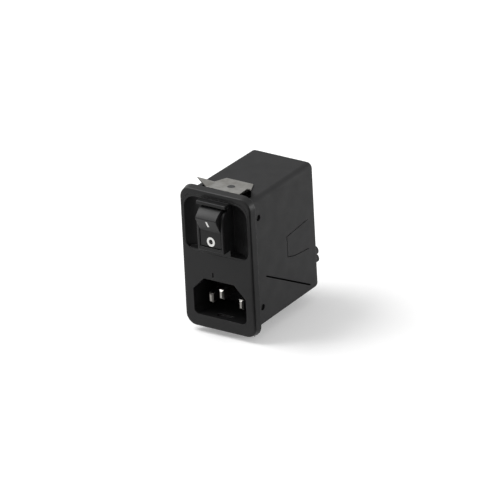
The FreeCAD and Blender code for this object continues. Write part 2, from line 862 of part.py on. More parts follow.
def make_blade(label, height, side, recess):
    """One inlet contact: a chamfered blade, a shoulder behind the well's floor and a tail."""
    body = new_body(label)
    tip = front + recess
    shoulder_rear = inlet_floor_rear + d.blade_shoulder
    section = centred(d.blade_thickness, d.blade_height, side, height)
    raise_between(body, "blade", "y", section, tip, shoulder_rear)
    dress(body, "tip", "PartDesign::Chamfer",
          lambda box: close(box.YMin, tip) and close(box.YMax, tip),
          smaller(d.blade_chamfer, d.blade_thickness * TIP_SHARE))
    shoulder = centred(d.blade_thickness + d.blade_shoulder_margin * 2,
                       d.blade_height + d.blade_shoulder_margin * 2, side, height)
    raise_between(body, "shoulder", "y", shoulder, inlet_floor_rear, shoulder_rear)
    tail = centred(d.blade_tail_thickness, d.blade_tail_height, side, height)
    raise_between(body, "tail", "y", tail, inlet_floor_rear, shoulder_rear + d.blade_tail)
    return body


def make_retainer():
    """The plate that holds the blades down, with two rails that stand on the well's floor."""
    body = new_body("blade_retainer")
    plate = centred(retainer_width, retainer_height, ZERO, inlet_z)
    raise_between(body, "plate", "y", plate, retainer_front, retainer_front + d.retainer_thickness)
    top = inlet_z + retainer_height / 2
    dress(body, "slanted_corners", "PartDesign::Chamfer",
          lambda box: close(box.ZMin, top) and close(box.ZMax, top) and box.YLength > LONG_EDGE,
          d.inlet_chamfer)
    rail_height = retainer_height - d.inlet_chamfer - d.retainer_rail
    rail_z = inlet_z - retainer_height / 2 + rail_height / 2
    for name, sign in (("right_rail", 1), ("left_rail", -1)):
        rail = centred(d.retainer_rail, rail_height, (retainer_width - d.retainer_rail) / 2 * sign, rail_z)
        raise_between(body, name, "y", rail, inlet_floor_rear, retainer_front + d.retainer_thickness / 2)
    wide = d.blade_tail_thickness + d.blade_fit * 2
    tall = d.blade_tail_height + d.blade_fit * 2
    for index, (height, side) in enumerate(blade_places(), start=1):
        sink_between(body, f"tail_slot_{index}", "y", centred(wide, tall, side, height),
                     retainer_front, retainer_front + d.retainer_thickness)
    return body


def scoop_floor():
    """The scoop's section from above: a hollow arc from its foot at the hood out to its rim."""
    rise = d.scoop_depth
    run = scoop_half - hood_half
    radius = (run * run + rise * rise) / (rise * 2)
    proud = front - d.hood_reach
    return [(hood_half, proud), (scoop_half, proud), (scoop_half, front, radius), (hood_half, front + rise)]


def make_fuse_drawer():
    """The drawer front with its hood and a blank where the scoops go, and the fuse pockets behind."""
    body = new_body("fuse_drawer")
    lip = rounded(-lip_half, lip_half, lip_bottom, lip_top, d.lip_corner)
    raise_between(body, "lip", "y", lip, front, lip_rear)
    raise_between(body, "box", "y", rectangle(-drawer_half, drawer_half, drawer_bottom, drawer_top),
                  front + d.lip_thickness / 2, drawer_depth)
    scoop_rear = front + d.scoop_depth
    cradle_low = fuse_middle - d.cradle_length / 2
    cradle_high = fuse_middle + d.cradle_length / 2
    cradle_rear = fuse_depth + d.cradle_reach
    for name, sign in (("right", 1), ("left", -1)):
        side = fuse_side * sign
        left = side - d.fuse_pocket_half
        right = side + d.fuse_pocket_half
        pocket = rectangle(left, right, drawer_bottom + d.drawer_bottom_wall, fuse_top + d.fuse_end_gap)
        sink_between(body, f"{name}_fuse_pocket", "y", pocket, scoop_rear + d.drawer_floor,
                     drawer_depth + d.drawer_floor)
        cradle = rectangle(left, right, cradle_low, cradle_high)
        raise_between(body, f"{name}_cradle", "y", cradle, scoop_rear + d.drawer_floor / 2, cradle_rear)
        bore = (side, fuse_depth, d.fuse_glass_radius + d.cradle_gap)
        sink_between(body, f"{name}_cradle_bore", "z", bore, cradle_low - CLEAR, cradle_high + CLEAR)
        mouth = rectangle(side - d.cradle_mouth_half, side + d.cradle_mouth_half,
                          cradle_low - CLEAR, cradle_high + CLEAR)
        sink_between(body, f"{name}_cradle_mouth", "y", mouth, fuse_depth, cradle_rear + CLEAR)
    hood_front = front - d.hood_reach
    hood_bottom = pivot_height - window_reach - d.hood_sill
    cheek_bend = pivot_height + d.hood_cheek_rise
    hood_side = [
        (hood_front, hood_bottom),
        (scoop_rear, hood_bottom),
        (scoop_rear, drawer_top),
        (lip_rear, drawer_top),
        (lip_rear, scoop_top),
        (front, scoop_top),
        (front, cheek_bend + d.hood_reach, d.hood_reach),
        (hood_front, cheek_bend),
    ]
    raise_between(body, "hood", "x", hood_side, -hood_half, hood_half)
    dress(body, "hood_edges", "PartDesign::Fillet",
          lambda box: close(box.YMin, hood_front) and (box.ZLength > LONG_EDGE or close(box.ZMin, hood_bottom)),
          d.hood_round)
    return body


def make_scoop(name, sign):
    """The solid that one finger scoop takes out of the drawer: floor arc, end slopes and rounded outline."""
    floor_body = doc.addObject("PartDesign::Body", f"{name}_scoop_floor")
    corners = [(corner[0] * sign, *corner[1:]) for corner in scoop_floor()]
    if sign < 0:
        corners = mirrored_way(corners)
    raise_between(floor_body, f"{name}_scoop_plan", "z", corners, scoop_bottom - CLEAR, scoop_top + CLEAR)
    side_body = doc.addObject("PartDesign::Body", f"{name}_scoop_side")
    proud = front - d.hood_reach - CLEAR
    deep = front + d.scoop_depth + CLEAR
    profile = [
        (proud, scoop_bottom),
        (front, scoop_bottom),
        (deep, scoop_bottom + d.scoop_bottom_slope),
        (deep, scoop_top - d.scoop_top_slope),
        (front, scoop_top),
        (proud, scoop_top),
    ]
    raise_between(side_body, f"{name}_scoop_profile", "x", profile, -scoop_half - CLEAR, scoop_half + CLEAR)
    face_body = doc.addObject("PartDesign::Body", f"{name}_scoop_face")
    low, high = d.scoop_bottom_corner, d.scoop_top_corner
    face = [
        (-scoop_half + low, scoop_bottom),
        (scoop_half - low, scoop_bottom, low),
        (scoop_half, scoop_bottom + low),
        (scoop_half, scoop_top - high, high),
        (scoop_half - high, scoop_top),
        (-scoop_half + high, scoop_top, high),
        (-scoop_half, scoop_top - high),
        (-scoop_half, scoop_bottom + low, low),
    ]
    raise_between(face_body, f"{name}_scoop_outline", "y", face, proud, deep)
    return common(f"{name}_scoop", common(f"{name}_scoop_rough", floor_body, side_body), face_body)


def mirrored_way(corners):
    """A mirrored outline walked backward, so that it stays anticlockwise and each arc keeps its corners."""
    points = [corner[:2] for corner in corners]
    arcs = [corner[2] if len(corner) > 2 else None for corner in corners]
    count = len(corners)
    turned = []
    for index in range(count - 1, -1, -1):
        arc = arcs[(index - 1) % count]
        turned.append(points[index] if arc is None else (*points[index], arc))
    return turned


def finish_fuse_drawer(body):
    """Takes the scoops and the rocker's window out of the drawer, and adds the ledge over the window."""
    nodes.remove(body)
    body.Label = "fuse_drawer_blank"
    scoops = fused("scoops", make_scoop("right", 1), make_scoop("left", -1))
    scooped = cut("fuse_drawer_scooped", body, scoops)
    window_top = pivot_height + window_reach
    window_bottom = pivot_height - window_reach
    fore = d.hood_reach + CLEAR
    swing_start = pivot_height - root(window_reach * window_reach - fore * fore)
    window_side = [
        (front, window_bottom),
        (drawer_depth + CLEAR, window_bottom),
        (drawer_depth + CLEAR, window_top),
        (front - fore, window_top),
        (front - fore, swing_start, window_reach),
    ]
    window = doc.addObject("PartDesign::Body", "rocker_window")
    raise_between(window, "window_profile", "x", window_side, -window_half, window_half)
    opened = cut("fuse_drawer_opened", scooped, window)
    ledge = doc.addObject("PartDesign::Body", "ledge")
    ledge_front = front - d.ledge_reach
    plate = rectangle(-d.ledge_half, d.ledge_half, window_top, scoop_top + d.ledge_rise)
    raise_between(ledge, "ledge_plate", "y", plate, ledge_front, lip_rear)
    dress(ledge, "ledge_edges", "PartDesign::Fillet", lambda box: close(box.YMin, ledge_front), d.ledge_round)
    return node(fused("fuse_drawer_part", opened, ledge), "fuse_drawer")


def make_rocker():
    """The rocker: a bent face between two round ends, hollow behind, drilled and tilted at rest."""
    body = new_body("rocker")
    half_swing = d.rocker_swing / 2
    crest_up = root(d.rocker_radius * d.rocker_radius - d.rocker_crest_reach * d.rocker_crest_reach)
    skirt_up = root(d.rocker_radius * d.rocker_radius - d.rocker_skirt * d.rocker_skirt)
    fold = d.rocker_crest_reach - crest_up * sine(half_swing) / cosine(half_swing)
    profile = [
        (-d.rocker_crest_reach, -crest_up, d.rocker_radius),
        (d.rocker_skirt, -skirt_up),
        (d.rocker_skirt, skirt_up, d.rocker_radius),
        (-d.rocker_crest_reach, crest_up),
        (-fold, ZERO),
    ]
    raise_between(body, "cap", "x", profile, -d.rocker_half, d.rocker_half)
    dress(body, "crests", "PartDesign::Fillet",
          lambda box: close(box.YMin, -d.rocker_crest_reach) and box.XLength > LONG_EDGE,
          d.rocker_crest_round)
    hollow_fold = fold - d.rocker_face_wall
    hollow_front = d.rocker_crest_reach - d.rocker_crest_wall
    hollow_up = crest_up - d.rocker_end_wall
    hollow_rear = skirt_up - d.rocker_face_wall
    hollow = [
        (-hollow_front, -hollow_up),
        (d.rocker_skirt, -hollow_rear),
        (d.rocker_skirt, hollow_rear),
        (-hollow_front, hollow_up),
        (-hollow_fold, ZERO),
    ]
    inside = d.rocker_half - d.rocker_side_wall
    sink_between(body, "hollow", "x", hollow, -inside, inside)
    bearing = (ZERO, ZERO, d.axle_radius + d.axle_fit)
    sink_between(body, "axle_hole", "x", bearing, -d.rocker_half, d.rocker_half)
    body.Placement = FreeCAD.Placement(
        FreeCAD.Vector(0, front.value, pivot_height.value),
        FreeCAD.Rotation(FreeCAD.Vector(1, 0, 0), half_swing.value))
    bind(body, "Placement.Base.y", front)
    bind(body, "Placement.Base.z", pivot_height)
    bind(body, "Placement.Rotation.Angle", half_swing)
    return body


def make_switch_body():
    """The switch's case, with the post that carries the rocker's axle and a flange behind the carrier."""
    body = new_body("switch_body")
    case = rectangle(-d.rocker_half, d.rocker_half,
                     pivot_height - switch_half_height, pivot_height + switch_half_height)
    raise_between(body, "case", "y", case, switch_front, switch_rear)
    post_rear = switch_front + d.post_nose
    post = rectangle(front, post_rear, pivot_height - d.post_nose, pivot_height + d.post_nose)
    raise_between(body, "post", "x", post, -post_half, post_half)
    raise_between(body, "post_nose", "x", (front, pivot_height, d.post_nose), -post_half, post_half)
    flange_half = d.rocker_half + d.switch_flange_margin
    flange_rise = switch_half_height + d.switch_flange_margin
    flange = rectangle(-flange_half, flange_half, pivot_height - flange_rise, pivot_height + flange_rise)
    raise_between(body, "flange", "y", flange, carrier_rear, carrier_rear + d.switch_flange)
    bearing = (front, pivot_height, d.axle_radius + d.axle_fit / 2)
    sink_between(body, "axle_hole", "x", bearing, -d.rocker_half, d.rocker_half)
    return body


def make_axle():
    """The steel axle through the post and the rocker's cheeks."""
    axle = rod("axle", "x", d.axle_radius, d.rocker_half * 2, -d.rocker_half, front, pivot_height)
    return node(axle, "rocker_axle")


def make_switch_tab(label, side, rise):
    """A flat terminal on the back of the switch."""
    up = pivot_height + d.switch_tab_rise * rise
    across = d.switch_tab_side * side
    tab = block(f"{label}_box",
                (across - d.switch_tab_thickness / 2, across + d.switch_tab_thickness / 2),
                (switch_rear, switch_rear + d.switch_tab_reach),
                (up - d.switch_tab_height / 2, up + d.switch_tab_height / 2))
    return node(tab, label)


def make_carrier():
    """The plate behind the bay that carries the switch and the fuse clips."""
    body = new_body("contact_carrier")
    plate = rectangle(-chassis_half, chassis_half, bay_bottom - d.bay_wall, chassis_top)
    raise_between(body, "plate", "y", plate, carrier_front, carrier_rear)
    dress(body, "corners", "PartDesign::Chamfer",
          lambda box: close(box.ZMin, chassis_top) and box.YLength > LONG_EDGE,
          d.shell_long_round - d.shell_wall)
    half = d.rocker_half + d.switch_fit
    rise = switch_half_height + d.switch_fit
    opening = rectangle(-half, half, pivot_height - rise, pivot_height + rise)
    sink_between(body, "switch_opening", "y", opening, carrier_front, carrier_rear)
    for index, (side, height) in enumerate(fuse_clip_places(), start=1):
        wide = d.clip_tail_thickness + d.blade_fit * 2
        slot = centred(wide, d.clip_tail_height + d.blade_fit * 2, side, height)
        sink_between(body, f"tail_slot_{index}", "y", slot, carrier_front, carrier_rear)
    return body


def fuse_clip_places():
    """The side and the height of the four fuse clips."""
    inset = d.fuse_cap_length / 2
    return (
        (fuse_side, fuse_top - inset),
        (fuse_side, fuse_bottom + inset),
        (-fuse_side, fuse_top - inset),
        (-fuse_side, fuse_bottom + inset),
    )


def make_fuse_clip(label, side, height):
    """A spring clip that grips one fuse cap: a round back, two straight leaves, a base and a tail."""
    body = new_body(label)
    grip = d.fuse_cap_radius + d.clip_grip_gap
    outside = grip + d.clip_leaf
    low = height - d.clip_leaf_height / 2
    high = height + d.clip_leaf_height / 2
    mouth = fuse_depth - d.clip_leaf_reach
    leaf = [
        (side + outside, mouth),
        (side + outside, fuse_depth, outside),
        (side, fuse_depth + outside, outside),
        (side - outside, fuse_depth),
        (side - outside, mouth),
        (side - grip, mouth),
        (side - grip, fuse_depth, -grip),
        (side, fuse_depth + grip, -grip),
        (side + grip, fuse_depth),
        (side + grip, mouth),
    ]
    raise_between(body, "leaf", "z", leaf, low, high)
    tail = centred(d.clip_tail_thickness, d.clip_tail_height, side, height)
    tail_start = fuse_depth + grip + d.clip_leaf / 2
    raise_between(body, "tail", "y", tail, tail_start, carrier_rear + d.clip_tail_reach)
    base = centred(d.clip_base_half * 2, d.clip_leaf_height, side, height)
    raise_between(body, "base", "y", base, carrier_front - d.clip_base_thickness, carrier_front)
    return body


def make_fuse(name, side):
    """A glass fuse: the tube, its two metal caps and the wire inside."""
    inner = d.fuse_glass_radius - d.fuse_glass_wall
    start = fuse_bottom + d.fuse_cap_end
    length = d.fuse_length - d.fuse_cap_end * 2
    tube = cut(f"{name}_tube",
               rod(f"{name}_tube_outside", "z", d.fuse_glass_radius, length, side, fuse_depth, start),
               rod(f"{name}_tube_inside", "z", inner, length, side, fuse_depth, start))
    node(tube, f"{name}_glass")
    caps = []
    hollow = d.fuse_cap_radius - d.fuse_cap_sheet
    for end, base, inside in (("lower", fuse_bottom, start),
                              ("upper", fuse_top - d.fuse_cap_length, fuse_top - d.fuse_cap_length)):
        depth = d.fuse_cap_length - d.fuse_cap_end
        caps.append(cut(f"{name}_{end}_cap",
                        rod(f"{name}_{end}_cap_outside", "z", d.fuse_cap_radius, d.fuse_cap_length,
                            side, fuse_depth, base),
                        rod(f"{name}_{end}_cap_inside", "z", hollow, depth, side, fuse_depth, inside)))
    node(together(f"{name}_caps_pair", *caps), f"{name}_caps")
    node(rod(f"{name}_thread", "z", d.fuse_wire_radius, length, side, fuse_depth, start), f"{name}_wire")


def make_tab(label, side, height):
    """A connector tab that stands out of the rear face, with a shoulder against the inside of the wall."""
    body = new_body(label)
    end = d.shell_length + d.tab_reach
    raise_between(body, "tab", "y", centred(d.tab_thickness, d.tab_height, side, height),
                  shell_rear_inside - d.tab_shoulder - d.tab_tail, end)
    dress(body, "lead_in", "PartDesign::Chamfer",
          lambda box: close(box.YMin, end) and close(box.ZMin, box.ZMax),
          d.tab_thickness)
    wide = d.tab_thickness + d.tab_shoulder * 2
    shoulder = centred(wide, d.tab_height + d.tab_shoulder_margin * 2, side, height)
    raise_between(body, "shoulder", "y", shoulder, shell_rear_inside - d.tab_shoulder, shell_rear_inside)
    hole = (d.shell_length + d.tab_reach / 2, height, d.tab_hole_radius)
    sink_between(body, "detent_hole", "x", hole, side - d.tab_thickness, side + d.tab_thickness)
    return body


def build():
    """Makes every sub-part."""
    make_front_bezel()
    make_housing_shell()
    make_panel_clip("upper_panel_clip", 1)
    make_panel_clip("lower_panel_clip", -1)
    recesses = (d.earth_recess, d.blade_recess, d.blade_recess)
    blades = ("earth_blade", "line_blade", "neutral_blade")
    for label, (height, side), recess in zip(blades, blade_places(), recesses):
        make_blade(label, height, side, recess)
    make_retainer()
    finish_fuse_drawer(make_fuse_drawer())
    make_rocker()
    make_switch_body()
    make_axle()
    for label, side, rise in (("line_switch_in", 1, 1), ("line_switch_out", 1, -1),
                              ("neutral_switch_in", -1, 1), ("neutral_switch_out", -1, -1)):
        make_switch_tab(label, side, rise)
    make_carrier()
    clips = (
        "line_fuse_clip_upper",
        "line_fuse_clip_lower",
        "neutral_fuse_clip_upper",
        "neutral_fuse_clip_lower",
    )
    for label, (side, height) in zip(clips, fuse_clip_places()):
        make_fuse_clip(label, side, height)
    make_fuse("line_fuse", fuse_side)
    make_fuse("neutral_fuse", -fuse_side)
    for label, (side, height) in zip(("earth_tab", "line_tab", "neutral_tab"), tab_places()):
        make_tab(label, side, height)


def check_and_write():
    """Stops at a failed object or an unsound solid, then writes one file for each sub-part."""
    doc.recompute()
    failed = [thing.Name for thing in doc.Objects if "Invalid" in thing.State or "Error" in thing.State]
    if failed:
        raise RuntimeError(f"failed objects: {failed}")
    for thing in nodes:
        if thing.Shape.isNull() or not thing.Shape.isValid() or thing.Shape.Volume <= 0:
            raise RuntimeError(f"unsound shape: {thing.Label}")
    os.makedirs("parts", exist_ok=True)
    for thing in nodes:
        thing.Shape.exportStep(f"parts/{thing.Label}.step")
        box = thing.Shape.BoundBox
        print(thing.Label, len(thing.Shape.Solids), round(thing.Shape.Volume, 2),
              round(box.XLength, 2), round(box.YLength, 2), round(box.ZLength, 2))


build()
check_and_write()
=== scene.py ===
"""Looks of the panel inlet socket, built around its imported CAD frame.

Lengths are written in millimetres and turned to metres where a piece is made. X is right, Y back into the
equipment and Z up, with the origin at the centre of the flange's rear face.
"""
import math

import bmesh
import bpy
from mathutils import Matrix, Vector


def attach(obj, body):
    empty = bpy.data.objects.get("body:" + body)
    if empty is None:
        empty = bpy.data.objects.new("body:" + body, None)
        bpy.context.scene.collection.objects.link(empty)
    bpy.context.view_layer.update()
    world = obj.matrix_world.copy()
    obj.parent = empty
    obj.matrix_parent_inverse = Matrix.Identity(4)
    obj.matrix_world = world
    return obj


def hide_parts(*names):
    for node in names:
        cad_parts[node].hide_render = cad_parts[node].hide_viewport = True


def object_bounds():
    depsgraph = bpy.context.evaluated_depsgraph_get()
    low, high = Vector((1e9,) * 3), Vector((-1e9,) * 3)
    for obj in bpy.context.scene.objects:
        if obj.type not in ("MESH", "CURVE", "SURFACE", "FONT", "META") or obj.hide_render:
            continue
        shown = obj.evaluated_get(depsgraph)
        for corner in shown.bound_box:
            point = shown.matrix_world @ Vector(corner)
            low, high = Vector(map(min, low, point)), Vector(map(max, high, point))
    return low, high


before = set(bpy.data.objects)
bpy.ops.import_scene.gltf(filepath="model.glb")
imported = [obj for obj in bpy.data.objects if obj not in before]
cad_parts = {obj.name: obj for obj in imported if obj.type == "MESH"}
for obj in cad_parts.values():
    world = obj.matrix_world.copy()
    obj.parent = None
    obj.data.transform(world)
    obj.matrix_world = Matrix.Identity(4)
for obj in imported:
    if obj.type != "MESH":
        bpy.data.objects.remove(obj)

cad_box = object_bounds()
MM = 0.001

# The camera, fitted to the photograph: its right, down and forward axes, and its place in millimetres.
CAMERA_RIGHT = Vector((0.830534, 0.554961, -0.047246))
CAMERA_DOWN = Vector((0.196359, -0.371130, -0.907583))
CAMERA_FORWARD = Vector((-0.521207, 0.744501, -0.417207))
CAMERA_PLACE = Vector((2694.474, -3829.802, 2153.199))
CAMERA_LENS = 962.64
SENSOR_WIDTH = 36.0

# The rocker: its pivot, the reach of its crests, half its swing, and the radius of its ends.
PIVOT_Y = -3.0
PIVOT_Z = 15.8
CREST_REACH = 5.6
ROCKER_RADIUS = 8.6
HALF_SWING = 13.5

# The flange: its thickness and corner radius, the edge radius of its solid, and the smaller radius and the
# slight draft that the photograph shows.
FLANGE_THICKNESS = 3.0
FLANGE_CORNER = 5.1
EDGE_SOLID = 1.7
EDGE_SEEN = 0.5
EDGE_DRAFT = 0.2

# How near, in millimetres, a point counts as on a surface.
NEAR = 0.02

# The inner partition: its outline in Y and Z, and its two faces in X. It starts at the blade retainer, passes
# under and behind the switch terminals, and runs slightly into the shell's roof, rear wall and floor.
PARTITION_OUTLINE = ((17.6, 8.0), (22.8, 8.0), (22.8, 25.95), (43.3, 25.8), (43.3, -25.8), (17.6, -26.0))
PARTITION_FACES = (2.8, 3.6)

# The signs: the off ring's half width and half height, the on bar's length, half the width of each line, how
# far each lies above the middle of its facet, and the ink's thickness.
RING_HALF_WIDTH = 1.36
RING_HALF_HEIGHT = 1.50
RING_STEPS = 56
RING_LINE = 0.48
RING_RISE = -1.15
BAR_LENGTH = 3.0
BAR_STEPS = 8
BAR_LINE = 0.42
BAR_RISE = 0.75
SIGN_HEIGHT = 0.03

# The shoulders of a sign's line: how square they are across and up.
SHOULDER_ACROSS = 0.45
SHOULDER_UP = 0.5

# The floor: how far it lies under the part, how far it reaches, and its glow to camera, gloss and glass.
FLOOR_DROP = 0.1
FLOOR_REACH = 6000.0
FLOOR_GLOW = 0.22

# The black card: its outline on the floor, the far corners where it stands up, how far it lies above the
# floor, and how high it reaches.
CARD_REACH = 600.0
CARD_OUTLINE = (
    (19.0, -8.0), (60.0, 20.0), (CARD_REACH, 300.0), (CARD_REACH, -CARD_REACH), (-20.0, -CARD_REACH),
    (-8.0, -40.0))
CARD_STANDS = slice(2, 5)
CARD_LIFT = 1.0
CARD_TOP = 260.0

# How brightly the surround lights the part, against 1 for what the camera sees of it.
WORLD_LEVEL = 0.45

# Plastic: the width of its clouds and flecks, how much darker and lighter the clouds are, how much lighter
# the flecks are, and where an edge starts and is full.
CLOUD_WIDTH = 7.0
FLECK_WIDTH = 0.35
CLOUD_DARK = 0.86
CLOUD_LIGHT = 1.16
FLECK_LIGHT = 1.7
PLASTIC_EDGE = (0.995, 0.90)

# Metal: the width of its tarnish clouds, the tone of its lines and bright edges, and where an edge starts and
# is full.
TARNISH_WIDTH = 3.2
LINE_DARK = 0.72
EDGE_LIGHT = 1.12
METAL_EDGE = (0.99, 0.85)


# Shader nodes


class Shader:
    """A material's node tree with one principled shader, and short calls that add nodes to it."""

    def __init__(self, name):
        self.material = bpy.data.materials.new(name)
        self.material.use_nodes = True
        self.tree = self.material.node_tree
        self.tree.nodes.clear()
        self.surface = self.add("ShaderNodeBsdfPrincipled")
        output = self.add("ShaderNodeOutputMaterial")
        self.link(self.surface.outputs["BSDF"], output.inputs["Surface"])
        self.place = self.add("ShaderNodeTexCoord").outputs["Object"]

    def add(self, kind, **values):
        """A node with its own properties set."""
        made = self.tree.nodes.new(kind)
        for key, value in values.items():
            setattr(made, key, value)
        return made

    def link(self, source, target):
        """Joins two sockets."""
        self.tree.links.new(source, target)

    def plain(self, **values):
        """Sets numbers and colours that are the same all over on the principled shader."""
        for key, value in values.items():
            self.surface.inputs[key.replace("_", " ")].default_value = value

    def stretched(self, stretch):
        """The place on the surface, stretched along each axis."""
        mapping = self.add("ShaderNodeMapping")
        mapping.inputs["Scale"].default_value = stretch
        self.link(self.place, mapping.inputs["Vector"])
        return mapping.outputs["Vector"]

    def noise(self, grain, detail=3.0, roughness=0.5, stretch=None):
        """Noise whose lumps are about one grain wide, in millimetres."""
        made = self.add("ShaderNodeTexNoise")
        made.inputs["Scale"].default_value = 1.0 / (grain * MM)
        made.inputs["Detail"].default_value = detail
        made.inputs["Roughness"].default_value = roughness
        self.link(self.stretched(stretch) if stretch else self.place, made.inputs["Vector"])
        return made.outputs["Fac"]

    def spread(self, value, low, high, low_in=0.3, high_in=0.7):
        """A number mapped from one range to another."""
        made = self.add("ShaderNodeMapRange")
        for key, number in (("From Min", low_in), ("From Max", high_in), ("To Min", low), ("To Max", high)):
            made.inputs[key].default_value = number
        self.link(value, made.inputs["Value"])
        return made.outputs["Result"]

    def blend(self, share, first, second):
        """A colour between two, each a plain colour or a socket."""
        made = self.add("ShaderNodeMix", data_type="RGBA")
        self.link(share, made.inputs["Factor"])
        for socket, colour in ((made.inputs[6], first), (made.inputs[7], second)):
            if isinstance(colour, tuple):
                socket.default_value = (*colour, 1.0)
            else:
                self.link(colour, socket)
        return made.outputs[2]

    def math(self, operation, first, second):
        """A sum, product or other result of two numbers."""
        made = self.add("ShaderNodeMath", operation=operation)
        for socket, value in zip(made.inputs, (first, second)):
            if isinstance(value, (int, float)):
                socket.default_value = value
            else:
                self.link(value, socket)
        return made.outputs["Value"]

    def bump(self, height, depth, strength=1.0, over=None):
        """A bump of a depth in millimetres, on top of another normal."""
        made = self.add("ShaderNodeBump")
        made.inputs["Strength"].default_value = strength
        made.inputs["Distance"].default_value = depth * MM
        self.link(height, made.inputs["Height"])
        if over is not None:
            self.link(over, made.inputs["Normal"])
        return made.outputs["Normal"]

    def soft_edge(self, radius):
        """The normal of edges that look rounded by a radius in millimetres."""
        made = self.add("ShaderNodeBevel", samples=6)
        made.inputs["Radius"].default_value = radius * MM
        return made.outputs["Normal"]

    def edge_share(self, rounded, start, full):
        """How far a point lies on an edge, from 0 to 1, by how the rounded normal turns there."""
        flat = self.add("ShaderNodeNewGeometry").outputs["Normal"]
        dot = self.add("ShaderNodeVectorMath", operation="DOT_PRODUCT")
        self.link(rounded, dot.inputs[0])
        self.link(flat, dot.inputs[1])
        return self.spread(dot.outputs["Value"], 1.0, 0.0, full, start)

    def set(self, **sockets):
        """Joins sockets to the principled shader's inputs."""
        for key, socket in sockets.items():
            self.link(socket, self.surface.inputs[key.replace("_", " ")])


def toned(colour, factor):
    """A colour made darker or lighter."""
    return tuple(min(channel * factor, 1.0) for channel in colour)


def moulded_plastic(name, base, edge_wear_and_highlight, roughness, grain=0.16, depth=0.012, specular=0.22, edge=0.22):
    """Black moulded plastic: spark-eroded grain, cloudy tone, slightly polished edges, and a lighter colour
    at sharp edges that is partly rubbed wear and partly a painted edge highlight.
    """
    shader = Shader(name)
    cloud = shader.noise(CLOUD_WIDTH, detail=4.0)
    fleck = shader.noise(FLECK_WIDTH, detail=2.0)
    tone = shader.blend(shader.spread(cloud, 0.0, 1.0), toned(base, CLOUD_DARK), toned(base, CLOUD_LIGHT))
    flecked = shader.blend(shader.spread(fleck, 0.0, 0.35, 0.6, 0.8), tone, toned(base, FLECK_LIGHT))
    rounded = shader.soft_edge(edge)
    rim = shader.edge_share(rounded, *PLASTIC_EDGE)
    # Sharp edges are blended half-way to a lighter colour: partly rubbed wear, partly a painted edge
    # highlight.
    shader.set(Base_Color=shader.blend(shader.math("MULTIPLY", rim, 0.5), flecked, edge_wear_and_highlight))
    rough = shader.spread(cloud, roughness - 0.05, roughness + 0.06)
    shader.set(Roughness=shader.math("SUBTRACT", rough, shader.math("MULTIPLY", rim, 0.08)))
    shader.set(Normal=shader.bump(shader.noise(grain, detail=3.0, roughness=0.6), depth, 0.55, rounded))
    shader.plain(Specular_IOR_Level=specular)
    return shader.material


def metal(name, base, tarnish, roughness, stretch, grain=0.25, depth=0.004, edge=0.08):
    """Sheet or turned metal with fine lines along one way, faint tarnish and bright edges."""
    shader = Shader(name)
    lines = shader.noise(grain, detail=5.0, roughness=0.65, stretch=stretch)
    cloud = shader.noise(TARNISH_WIDTH, detail=4.0)
    tone = shader.blend(shader.spread(cloud, 0.0, 0.75, 0.42, 0.75), base, tarnish)
    streaked = shader.blend(shader.spread(lines, 0.0, 0.4), tone, toned(base, LINE_DARK))
    rounded = shader.soft_edge(edge)
    rim = shader.edge_share(rounded, *METAL_EDGE)
    shader.set(Base_Color=shader.blend(rim, streaked, toned(base, EDGE_LIGHT)))
    line_roughness = shader.spread(lines, -0.06, 0.08)
    cloud_roughness = shader.spread(cloud, roughness - 0.03, roughness + 0.07)
    shader.set(Roughness=shader.math("ADD", line_roughness, cloud_roughness))
    shader.set(Normal=shader.bump(lines, depth, 0.5, rounded))
    shader.plain(Metallic=1.0)
    return shader.material


def clear_glass(name):
    """The fuse's drawn glass: clear, a little wavy, with faint dust."""
    shader = Shader(name)
    wave = shader.noise(2.5, detail=2.0, stretch=(1.0, 1.0, 0.3))
    shader.set(Roughness=shader.spread(shader.noise(0.6), 0.02, 0.09))
    shader.set(Base_Color=shader.blend(shader.spread(wave, 0.0, 1.0), (0.93, 0.97, 0.96), (0.98, 1.0, 1.0)))
    shader.set(Normal=shader.bump(wave, 0.02, 0.4))
    shader.plain(Transmission_Weight=1.0, IOR=1.5)
    return shader.material


def printed_ink(name):
    """White pad-printed ink, a little uneven and thin at its rim."""
    shader = Shader(name)
    body = shader.noise(0.5, detail=4.0)
    pits = shader.noise(0.12, detail=2.0)
    tone = shader.blend(shader.spread(body, 0.0, 1.0), (0.80, 0.80, 0.78), (0.90, 0.90, 0.88))
    shader.set(Base_Color=shader.blend(shader.spread(pits, 0.0, 0.5, 0.66, 0.8), tone, (0.45, 0.45, 0.44)))
    shader.set(Roughness=shader.spread(body, 0.42, 0.58))
    shader.set(Normal=shader.bump(pits, 0.006, 0.5))
    return shader.material


BLACK = (0.0105, 0.0105, 0.0108)
SHELL = (0.0100, 0.0100, 0.0104)
INNER = (0.0110, 0.0110, 0.0115)
# The lighter colour of sharp plastic edges: partly rubbed wear, partly a painted edge highlight.
EDGE_WEAR_AND_HIGHLIGHT = (0.045, 0.045, 0.046)
bezel_plastic = moulded_plastic("bezel_plastic", BLACK, EDGE_WEAR_AND_HIGHLIGHT, 0.36, specular=0.21)
shell_plastic = moulded_plastic("shell_plastic", SHELL, EDGE_WEAR_AND_HIGHLIGHT, 0.7, grain=0.2, specular=0.25)
rocker_plastic = moulded_plastic("rocker_plastic", BLACK, EDGE_WEAR_AND_HIGHLIGHT, 0.38, grain=0.3, depth=0.006, specular=0.2)
switch_plastic = moulded_plastic("switch_plastic", INNER, EDGE_WEAR_AND_HIGHLIGHT, 0.45, grain=0.25, depth=0.008)
spring_steel = metal("spring_steel", (0.23, 0.226, 0.212), (0.15, 0.143, 0.128), 0.34, (1.0, 12.0, 12.0))
plated_metal = metal("plated_metal", (0.34, 0.33, 0.31), (0.22, 0.21, 0.19), 0.34, (12.0, 1.0, 12.0))
